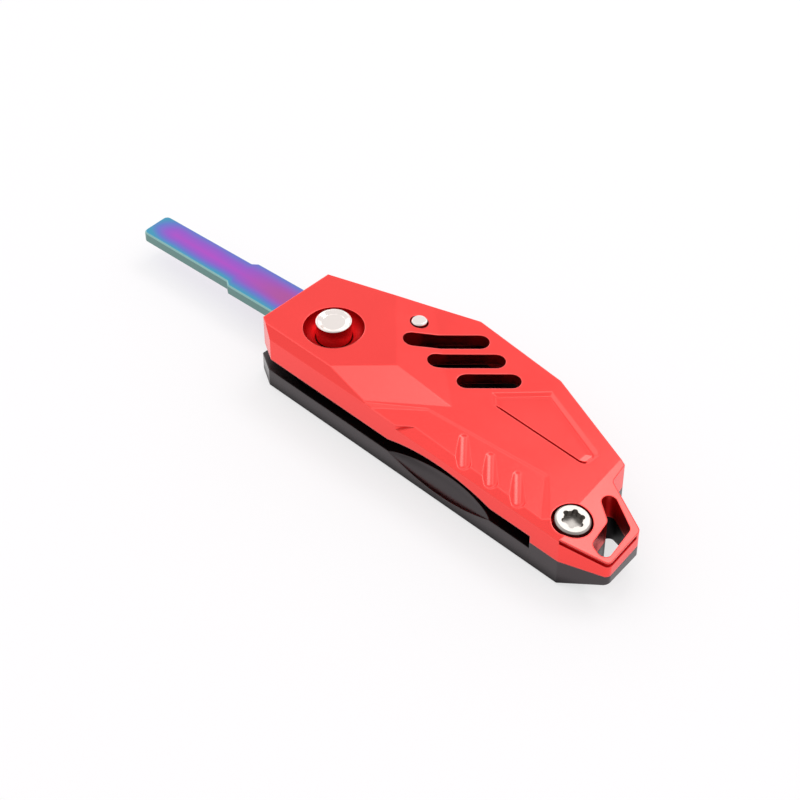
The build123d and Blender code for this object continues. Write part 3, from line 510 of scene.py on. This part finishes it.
class FinishSettings(bpy.types.PropertyGroup):
    """Colours and surface of the key's finishes, with the colours of their painted edge highlights and
    painted recess shade.
    """
    red: colour_setting("Red", "Colour of the upper shell", (1.0, 0.078, 0.072))
    # Painted highlight: the colour that the upper shell's edges are lightened towards
    red_edge_highlight: colour_setting("Red Edge Highlight", "Colour along the upper shell's edges", (1.0, 0.22, 0.2))
    # Painted shade: the colour that the upper shell's recesses are darkened towards
    red_recess_shade: colour_setting("Red Recess Shade", "Colour deep in the upper shell's recesses", (0.60, 0.003, 0.005))
    black: colour_setting("Black", "Colour of the lower shell", (0.080, 0.070, 0.073))
    # Painted highlight: the colour that the lower shell's edges are lightened towards
    black_edge_highlight: colour_setting("Black Edge Highlight", "Colour along the lower shell's edges", (0.16, 0.14, 0.14))
    # Painted shade: the colour that the lower shell's recesses are darkened towards
    black_recess_shade: colour_setting(
        "Black Recess Shade", "Colour deep in the lower shell's recesses", (0.010, 0.008, 0.009))
    roughness: share_setting("Roughness", "How matt the anodised skin is", 0.22)
    grain_depth: share_setting("Grain", "Strength of the blasted grain", 0.25)
    edge_radius: bpy.props.FloatProperty(
        name="Edge Radius", description="Radius that broken edges show", default=0.3 * MM,
        min=0.0, max=MM, unit="LENGTH", precision=5)
    chrome: colour_setting("Chrome", "Colour of the button and the dowel", (1.0, 0.92, 0.88))


class BladeSettings(bpy.types.PropertyGroup):
    """Colours of the blade's coating, from its middle line to its edges, with a painted highlight for the
    bevels and painted shade for the sides.
    """
    centre_colour: colour_setting("Centre", "Coating along the middle", (0.43, 0.09, 0.55))
    middle_colour: colour_setting("Middle", "Coating next to the middle", (0.30, 0.11, 0.57))
    outer_colour: colour_setting("Outer", "Coating towards the edges", (0.14, 0.19, 0.58))
    edge_colour: colour_setting("Edge", "Coating at the edges", (0.07, 0.32, 0.48))
    root_colour: colour_setting("Root", "Coating along the middle near the shell", (0.42, 0.10, 0.34))
    # Painted highlight: the lighter colour of the blade's bevels
    bevel_highlight_colour: colour_setting("Bevel", "Coating on the narrow bevels", (0.30, 0.52, 0.50))
    # Painted shade: a darker copy of the bevel colour on the narrow sides
    side_shade_colour: colour_setting("Side", "Coating on the narrow sides", (0.15, 0.27, 0.25))


class StudioSettings(bpy.types.PropertyGroup):
    """Floor and light round the key."""
    floor_colour: colour_setting("Floor", "Colour of the floor", (0.95, 0.91, 0.94))
    floor_white: share_setting("Floor White", "How much of the floor's look is plain white", 0.68)
    floor_size: strength_setting("Floor Size", "Side of the square floor", 6.0, unit="LENGTH")
    tail_power: strength_setting(
        "Tail Power", "Power of the softbox that lights the tail facet", 2.6, unit="POWER")
    ramp_power: strength_setting(
        "Ramp Power", "Power of the softbox that lights the ramp", 0.5, unit="POWER")
    sky: strength_setting("Sky", "Strength of the surroundings", 0.90)
    backdrop: strength_setting("Backdrop", "Extra strength low down behind the key", 0.4)
    left_glow: strength_setting("Left Glow", "Extra strength of a high patch left of the key", 1.3)
    low_glow: strength_setting("Low Glow", "Extra strength of a low patch left of the key", 0.5)
    front_loss: share_setting("Front Loss", "How much darker the room is on the camera's side", 0.4)


# Operators and panel

class FLIPKEY_OT_shells(bpy.types.Operator):
    """Finish both aluminium shells"""
    bl_idname = "flipkey.shells"
    bl_label = "Shells"

    def execute(self, context):
        look = context.scene.flipkey_finish
        give("red_anodised", anodised("red anodised", look, look.red, look.red_edge_highlight, look.red_recess_shade))
        give("black_anodised",
             anodised("black anodised", look, look.black, look.black_edge_highlight, look.black_recess_shade))
        return {"FINISHED"}


class FLIPKEY_OT_blade(bpy.types.Operator):
    """Coat the key blade"""
    bl_idname = "flipkey.blade"
    bl_label = "Blade"

    def execute(self, context):
        give("coated_blade_steel", coated_steel("coated blade steel", context.scene.flipkey_blade))
        return {"FINISHED"}


class FLIPKEY_OT_fittings(bpy.types.Operator):
    """Finish the button, screws, pins and inner parts"""
    bl_idname = "flipkey.fittings"
    bl_label = "Fittings"

    def execute(self, context):
        chrome = context.scene.flipkey_finish.chrome
        give("polished_chrome", turned_steel("polished chrome", chrome, CHROME_ROUGHNESS))
        for slot, (colour, roughness) in INNER_METALS.items():
            give(slot, turned_steel(slot.replace("_", " "), colour, roughness))
        return {"FINISHED"}


class FLIPKEY_OT_stage(bpy.types.Operator):
    """Make the floor, surroundings, lights and camera"""
    bl_idname = "flipkey.stage"
    bl_label = "Stage"

    def execute(self, context):
        studio = context.scene.flipkey_studio
        make_floor(studio)
        make_surroundings(studio)
        make_softbox("tail softbox", *TAIL_SOFTBOX, studio.tail_power)
        make_softbox("ramp softbox", *RAMP_SOFTBOX, studio.ramp_power)
        make_camera()
        context.scene.view_settings.view_transform = "Standard"
        return {"FINISHED"}


STEPS = (FLIPKEY_OT_shells, FLIPKEY_OT_blade, FLIPKEY_OT_fittings, FLIPKEY_OT_stage)
SETTINGS = {
    "flipkey_finish": FinishSettings,
    "flipkey_blade": BladeSettings,
    "flipkey_studio": StudioSettings,
}


class FLIPKEY_PT_panel(bpy.types.Panel):
    """Steps and settings of the key's dressing"""
    bl_idname = "FLIPKEY_PT_panel"
    bl_label = "Flip Key"
    bl_space_type = "VIEW_3D"
    bl_region_type = "UI"
    bl_category = "Flip Key"

    def draw(self, context):
        for step in STEPS:
            self.layout.operator(step.bl_idname)
        for name, settings in SETTINGS.items():
            for key in settings.__annotations__:
                self.layout.prop(getattr(context.scene, name), key)


CLASSES = (*SETTINGS.values(), *STEPS, FLIPKEY_PT_panel)


def register():
    """Registers every class and puts the settings on the scene."""
    for part in CLASSES:
        bpy.utils.register_class(part)
    for name, settings in SETTINGS.items():
        setattr(bpy.types.Scene, name, bpy.props.PointerProperty(type=settings))


def unregister():
    """Takes the settings and every class away again."""
    for name in SETTINGS:
        delattr(bpy.types.Scene, name)
    for part in reversed(CLASSES):
        bpy.utils.unregister_class(part)


def main():
    """Registers the add-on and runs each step."""
    register()
    for step in STEPS:
        area, name = step.bl_idname.split(".")
        getattr(getattr(bpy.ops, area), name)()


if __name__ == "__main__":
    main()
